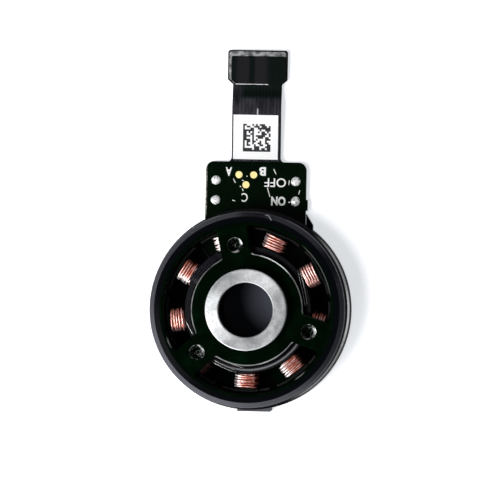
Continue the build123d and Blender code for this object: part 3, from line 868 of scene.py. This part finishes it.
class MOTOR_OT_set_solder(bpy.types.Operator):
    """Sets a solder dome on each joint of the board"""
    bl_idname = "motor.set_solder"
    bl_label = "Set Solder"

    seed = 4

    def execute(self, context):
        finish = Finish("solder_alloy", Metallic=0.2)
        swirl = finish.noise(2.6, 4)
        # the dark curls in the pale solder are painted reflections
        tone = finish.mix(swirl.band(0.53, 0.60, 0.02), (0.97, 0.98, 0.98), (0.10, 0.11, 0.11))
        material = finish.paint(tone, 0.2 + 0.2 * swirl, swirl, 0.03)
        points = mesh_points("solder_joints")
        below = points[:, :2] < (points[:, :2].min(axis=0) + points[:, :2].max(axis=0)) / 2
        random = np.random.default_rng(self.seed)
        height = context.scene.motor_board.solder_height
        shell = Shell()
        for quarter in ((True, True), (True, False), (False, True), (False, False)):
            joint = points[(below == quarter).all(axis=1)]
            low, high = joint.min(axis=0), joint.max(axis=0)
            centre = ((low[0] + high[0]) / 2, (low[1] + high[1]) / 2, board_top)
            shell.grid(dome(centre, (high[0] - low[0]) / 2, height, random), rings=True)
        piece = shell.piece("solder_domes", material, "solder")
        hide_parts("solder_joints")
        return {"FINISHED"}


class MOTOR_OT_print_board(bpy.types.Operator):
    """Prints the plain letters, the switch words and the guide dashes on the board"""
    bl_idname = "motor.print_board"
    bl_label = "Print Board"

    thickness, dash_width = 0.015, 0.115
    dot_centre, dot_radius = (5.44, 15.91), 0.13
    # word, centre in X and Y, width, height against the usual one, and how much bolder than the font
    words = (
        ("A", (-3.62, 20.30), 0.92, 0.98, 0.03),
        ("B", (1.40, 20.40), 1.0, 0.98, 0.04),
        ("C", (-1.20, 16.5), 0.92, 0.98, 0.01),
        ("OFF", (3.30, 18.78), 3.2, 1.0, 0.01),
        ("ON", (3.82, 16.05), 2.15, 1.04, 0.045),
    )
    dashes = (
        ((3.06, 20.78), (3.40, 20.02)), ((2.16, 18.0), (2.56, 16.67)),
        ((-2.92, 19.24), (-2.6, 18.64)), ((-3.02, 16.06), (-2.62, 15.98)),
        ((5.33, 18.45), (5.40, 19.15)), ((-1.9, 18.2), (-1.78, 18.02)),
        ((-1.56, 17.8), (-1.42, 17.45)), ((-1.6, 19.1), (-1.4, 18.95)),
        ((-1.0, 19.68), (-0.82, 19.6)), ((6.99, 17.72), (6.83, 17.13)),
    )

    def execute(self, context):
        settings = context.scene.motor_board
        finish = Finish("print_ink", Specular_IOR_Level=0.3)
        worn = finish.noise(5, 4)
        tone = finish.mix(worn.step(0.62, 0.8), settings.ink, shade(settings.ink, 0.6))
        material = finish.paint(tone, 0.45 + 0.2 * worn)
        turn = np.linspace(0, 2 * np.pi, 16, endpoint=False)[:, None]
        dot = self.dot_centre + self.dot_radius * np.hstack([np.cos(turn), np.sin(turn)])
        shell = Shell()
        for outline in [bar(start, end, self.dash_width) for start, end in self.dashes] + [dot]:
            shell.grid(plate(outline, board_top, board_top + self.thickness), rings=True)
        for word, centre, width, tallness, boldness in self.words:
            size = (width, tallness * settings.letter_height, self.thickness)
            self.add_word(shell, word, centre, size, boldness)
        shell.piece("board_print", material, "white_label", smooth=False)
        return {"FINISHED"}

    @staticmethod
    def add_word(shell, word, centre, size, boldness):
        """Adds a word as solid letters, stretched to its size and turned half round."""
        outline = bpy.data.curves.new(word, "FONT")
        outline.body = word
        outline.offset = boldness
        outline.extrude = 0.5
        outline.resolution_u = 6
        text = bpy.data.objects.new(word, outline)
        bpy.context.scene.collection.objects.link(text)
        bpy.context.view_layer.update()
        letters = text.evaluated_get(bpy.context.evaluated_depsgraph_get())
        mesh = bpy.data.meshes.new_from_object(letters)
        solid = bmesh.new()
        solid.from_mesh(mesh)
        bmesh.ops.remove_doubles(solid, verts=solid.verts, dist=1e-5)
        bmesh.ops.recalc_face_normals(solid, faces=solid.faces)
        solid.verts.index_update()
        points = np.array([vertex.co for vertex in solid.verts])
        faces = [[vertex.index for vertex in face.verts] for face in solid.faces]
        solid.free()
        bpy.data.meshes.remove(mesh)
        bpy.data.objects.remove(text)
        least, most = points.min(axis=0), points.max(axis=0)
        share = (points - (least + most) / 2) / (most - least)
        shell.add(share * size * (-1, -1, 1) + (*centre, board_top + size[2] / 2), faces)


class MOTOR_OT_finish_tail(bpy.types.Operator):
    """Gives the flex tail its film and traces, and the label its pattern of small squares"""
    bl_idname = "motor.finish_tail"
    bl_label = "Finish Tail"

    # the label's pattern: squares on a side, its width, and where in the noise it is drawn
    cells = 15
    code_side = 4.1
    draw_from = (7.5, 3.5)

    def execute(self, context):
        finish = Finish("flex_film", Specular_IOR_Level=0.08)
        x, y = finish.x, finish.y
        lines = finish.wave_noise(x, 2.2, 2)
        trace = finish.maths("PINGPONG", x + 0.21, 0.26).step(0.07, 0.15)
        cloudy = finish.noise(0.9, 4, (1, 0.35, 1))
        # a painted sheen, cloudy and paler towards the left
        sheen = cloudy.step(0.25, 0.7) * x.step(-0.8, 1.4, 1.0, 0.45)
        film = finish.mix(sheen, (0.005, 0.005, 0.007), (0.036, 0.036, 0.044))
        faint = lines.step(0.42, 0.62) * (0.15 + 0.5 * cloudy)
        tone = finish.mix(trace * faint, film, (0.045, 0.045, 0.054))
        # painted dark reflection where the film bends towards the connector
        end = (y + 0.4 * cloudy).step(label_high[1] + 2.35, label_high[1] + 3.1)
        tone = finish.mix(end * x.step(-3.2, -1.2, 0.2, 1.0), tone, (0.0006, 0.004, 0.003))
        # a painted highlight on one trace
        trace_glint = finish.marks(((0.52, 28.55), (0.51, 29.65), 0.18, 0.06))
        tone = finish.mix(trace_glint, tone, (0.5, 0.5, 0.5))
        dress(finish.paint(tone, 0.34 + 0.14 * cloudy, 0.8 * trace + 0.2 * cloudy, 0.02), "flex_tail")

        finish = Finish("label_print", Specular_IOR_Level=0.35)
        left = label_middle[0] + 0.17 - self.code_side / 2
        bottom = label_middle[1] - 0.1 - self.code_side / 2
        column = finish.maths("FLOOR", (finish.x - left) * (self.cells / self.code_side))
        row = finish.maths("FLOOR", (finish.y - bottom) * (self.cells / self.code_side))
        start_x, start_y = self.draw_from
        seat = finish.node("ShaderNodeCombineXYZ", X=column + start_x, Y=row + start_y)
        draw = finish.node("ShaderNodeTexWhiteNoise", {"noise_dimensions": "2D"},
                           Vector=seat.outputs[0])
        dark = finish.maths("GREATER_THAN", Amount(finish, draw.outputs["Value"]), 0.47)
        dark = dark | finish.maths("LESS_THAN", finish.maths("MINIMUM", column, row), 0.5)
        for cell in (column, row):
            dark = dark * finish.maths("GREATER_THAN", cell, -0.5)
            dark = dark * finish.maths("LESS_THAN", cell, self.cells - 0.5)
        paper = finish.mix(finish.noise(4, 4), (0.92, 0.92, 0.93), (0.99, 0.99, 0.99))
        tone = finish.mix(dark, paper, (0.004, 0.004, 0.007))
        rough = 0.5 + 0.1 * finish.noise(5, 2)
        dress(finish.paint(tone, rough, finish.noise(6), 0.004), "code_label")
        return {"FINISHED"}


class MOTOR_OT_finish_connector(bpy.types.Operator):
    """Gives the connector's housing and the pad above it their mouldings"""
    bl_idname = "motor.finish_connector"
    bl_label = "Finish Connector"

    def execute(self, context):
        finish = Finish("pad_moulding", Specular_IOR_Level=0.05)
        rib = finish.wave_noise(finish.x, 0.9, 3)
        grain = finish.noise(11)
        share = (finish.x - pad_low[0]) * (1 / (pad_high[0] - pad_low[0]))
        grey = share.band(0.1, 0.66, 0.06) * abs(share - 0.38).band(0.05, 1.0, 0.02)
        tone = finish.mix(rib, (0.0005, 0.0030, 0.0018), (0.002, 0.005, 0.004))
        tone = finish.mix(grey * (0.6 + 0.4 * grain), tone, (0.013, 0.012, 0.015))
        glint = finish.y.fall(pad_low[1] + 0.06, pad_low[1] + 0.12) * share.band(0.04, 0.68, 0.02)
        glint = glint * finish.noise(1.5, 2).step(0.2, 0.5)
        tone = finish.mix(glint, tone, (0.75, 0.75, 0.76))
        material = finish.paint(tone, 0.3 + 0.15 * rib, 0.6 * grain + 0.4 * rib, 0.012)
        dress(material, "stiffener_pad", "connector_housing")
        return {"FINISHED"}


class MOTOR_OT_set_stage(bpy.types.Operator):
    """Sets the pale floor, the soft lights and the camera"""
    bl_idname = "motor.set_stage"
    bl_label = "Set Stage"

    # name, azimuth and elevation in degrees, width and height in metres, power in watts
    softboxes = (
        ("left_softbox", 205, 17, 0.42, 0.42, 1.4),
        ("front_softbox", 244, 17, 0.42, 0.42, 1.6),
        ("right_softbox", 290, 12, 0.30, 0.30, 0.35),
        ("back_strip", 62, 4, 0.38, 0.05, 0.28),
        ("rim_softbox", -5, 42, 0.26, 0.26, 0.07),
    )
    # from the origin to each lamp and to the floor's sides, in metres
    light_distance, floor_half = 0.6, 1.5
    # the camera's sensor, and its target across and up from the motor's axis, in millimetres
    sensor_width, aim = 36, (-0.18, 8.73)

    def execute(self, context):
        settings = context.scene.motor_stage
        self.lay_floor(settings.floor)
        self.hang_lights(context, settings.key_power)
        self.light_world(context)
        self.place_camera(context, settings)
        context.scene.view_settings.view_transform = "Standard"
        return {"FINISHED"}

    def lay_floor(self, tint):
        """A flat square under the part, with a little glow for the camera and for reflections.

        It is clear from below, so that the part's underside can be looked at.
        """
        finish = Finish("floor_paper", Specular_IOR_Level=0.0)
        finish.paint(finish.mix(finish.noise(0.08), shade(tint, 0.985), tint), 0.9)
        seen = finish.rays(Camera=1, Glossy=0.3, Transmission=1)
        glow = finish.node("ShaderNodeEmission", Color=(0.94, 0.965, 1.0), Strength=0.67 * seen)
        both = finish.node("ShaderNodeAddShader", Shader=finish.shader.outputs[0],
                           Shader_001=glow.outputs[0])
        below = finish.node("ShaderNodeNewGeometry").outputs["Backfacing"]
        clear = finish.node("ShaderNodeBsdfTransparent").outputs[0]
        sided = finish.node("ShaderNodeMixShader", Fac=below, Shader=both.outputs[0],
                            Shader_001=clear)
        finish.feed(finish.output, "Surface", sided.outputs[0])

        line = np.linspace(-self.floor_half / MM, self.floor_half / MM, 3)
        x, y = np.meshgrid(line, line)
        shell = Shell()
        shell.grid(np.stack([x, y, np.full_like(x, corners("base_housing")[0][2])], axis=-1))
        shell.mesh_object("floor", finish.material, smooth=False)

    def hang_lights(self, context, key_power):
        """A main softbox high on the left and five weaker ones round the part, four of them low.
        Each faces the origin from its azimuth and elevation."""
        key = ("key_softbox", 203, 57, 0.30, 0.30, key_power)
        for name, azimuth, elevation, width, height, power in (key, *self.softboxes):
            lamp = bpy.data.lights.new(name, "AREA")
            lamp.shape = "DISK" if width == height else "RECTANGLE"
            lamp.size, lamp.size_y = width, height
            lamp.energy = power
            holder = bpy.data.objects.new(name, lamp)
            context.scene.collection.objects.link(holder)
            azimuth, elevation = math.radians(azimuth), math.radians(elevation)
            towards = Vector((math.cos(azimuth) * math.cos(elevation),
                              math.sin(azimuth) * math.cos(elevation), math.sin(elevation)))
            holder.location = towards * self.light_distance
            holder.rotation_euler = towards.to_track_quat("Z", "Y").to_euler()

    @staticmethod
    def light_world(context):
        """A dim sky that is white to the camera and partly so in reflections."""
        world = bpy.data.worlds.new("studio")
        world.use_nodes = True
        context.scene.world = world
        sky = Nodes(world.node_tree)
        dim = sky.node("ShaderNodeBackground", Color=(0.95, 0.97, 1.0), Strength=0.08)
        white = sky.node("ShaderNodeBackground", Color=(1.0, 1.0, 1.0), Strength=1.0)
        choice = sky.node("ShaderNodeMixShader", Fac=sky.rays(Camera=1, Glossy=0.18),
                          Shader=dim.outputs[0], Shader_001=white.outputs[0])
        sky.node("ShaderNodeOutputWorld", Surface=choice.outputs[0])

    def place_camera(self, context, settings):
        """Looks almost straight down at the target, with the tail towards the top of the view.

        Across and up are the view's own directions on the floor, and the camera stands back from
        the target along their normal, leaned from straight up by the tilt.
        """
        tilt, roll, lean = settings.tilt, settings.roll, settings.lean
        across = Vector((math.cos(roll), math.sin(roll), 0))
        up = Vector((-math.sin(roll), math.cos(roll), 0))
        aside = across * math.cos(lean) + up * math.sin(lean)
        back = aside * math.sin(tilt) + Vector((0, 0, math.cos(tilt)))
        right = up.cross(back).normalized()
        up = back.cross(right)
        target = (across * self.aim[0] + up * self.aim[1]) * MM
        lens = bpy.data.cameras.new("camera")
        lens.sensor_width = self.sensor_width
        lens.lens = self.sensor_width * settings.distance / settings.view_width
        lens.clip_start = 0.01
        lens.clip_end = 20
        camera = bpy.data.objects.new("camera", lens)
        context.scene.collection.objects.link(camera)
        turn = Matrix((right, up, back)).transposed().to_4x4()
        camera.matrix_world = Matrix.Translation(target + back * settings.distance) @ turn
        context.scene.camera = camera


# ---- Panel and registration ----

operators = (
    MOTOR_OT_finish_bell, MOTOR_OT_finish_base, MOTOR_OT_finish_shaft, MOTOR_OT_finish_steel,
    MOTOR_OT_finish_stator, MOTOR_OT_wind_coils, MOTOR_OT_lay_crossovers, MOTOR_OT_finish_board,
    MOTOR_OT_set_solder, MOTOR_OT_print_board, MOTOR_OT_finish_tail, MOTOR_OT_finish_connector,
    MOTOR_OT_set_stage,
)
groups = {
    "motor_windings": MotorWindings,
    "motor_board": MotorBoard,
    "motor_metal": MotorMetal,
    "motor_stage": MotorStage,
}


class MOTOR_PT_panel(bpy.types.Panel):
    """Lists the motor's settings and the operators that make its pieces"""
    bl_idname = "MOTOR_PT_panel"
    bl_label = "Hollow Shaft Motor"
    bl_space_type = "VIEW_3D"
    bl_region_type = "UI"
    bl_category = "Motor"

    def draw(self, context):
        for name, group in groups.items():
            box = self.layout.box()
            settings = getattr(context.scene, name)
            for prop in group.__annotations__:
                box.prop(settings, prop)
        for operator in operators:
            self.layout.operator(operator.bl_idname)


def register():
    for name, group in groups.items():
        bpy.utils.register_class(group)
        setattr(bpy.types.Scene, name, bpy.props.PointerProperty(type=group))
    for operator in operators:
        bpy.utils.register_class(operator)
    bpy.utils.register_class(MOTOR_PT_panel)


def unregister():
    bpy.utils.unregister_class(MOTOR_PT_panel)
    for operator in reversed(operators):
        bpy.utils.unregister_class(operator)
    for name, group in reversed(groups.items()):
        delattr(bpy.types.Scene, name)
        bpy.utils.unregister_class(group)


def main():
    register()
    for operator in operators:
        category, action = operator.bl_idname.split(".")
        getattr(getattr(bpy.ops, category), action)()


if __name__ == "__main__":
    main()
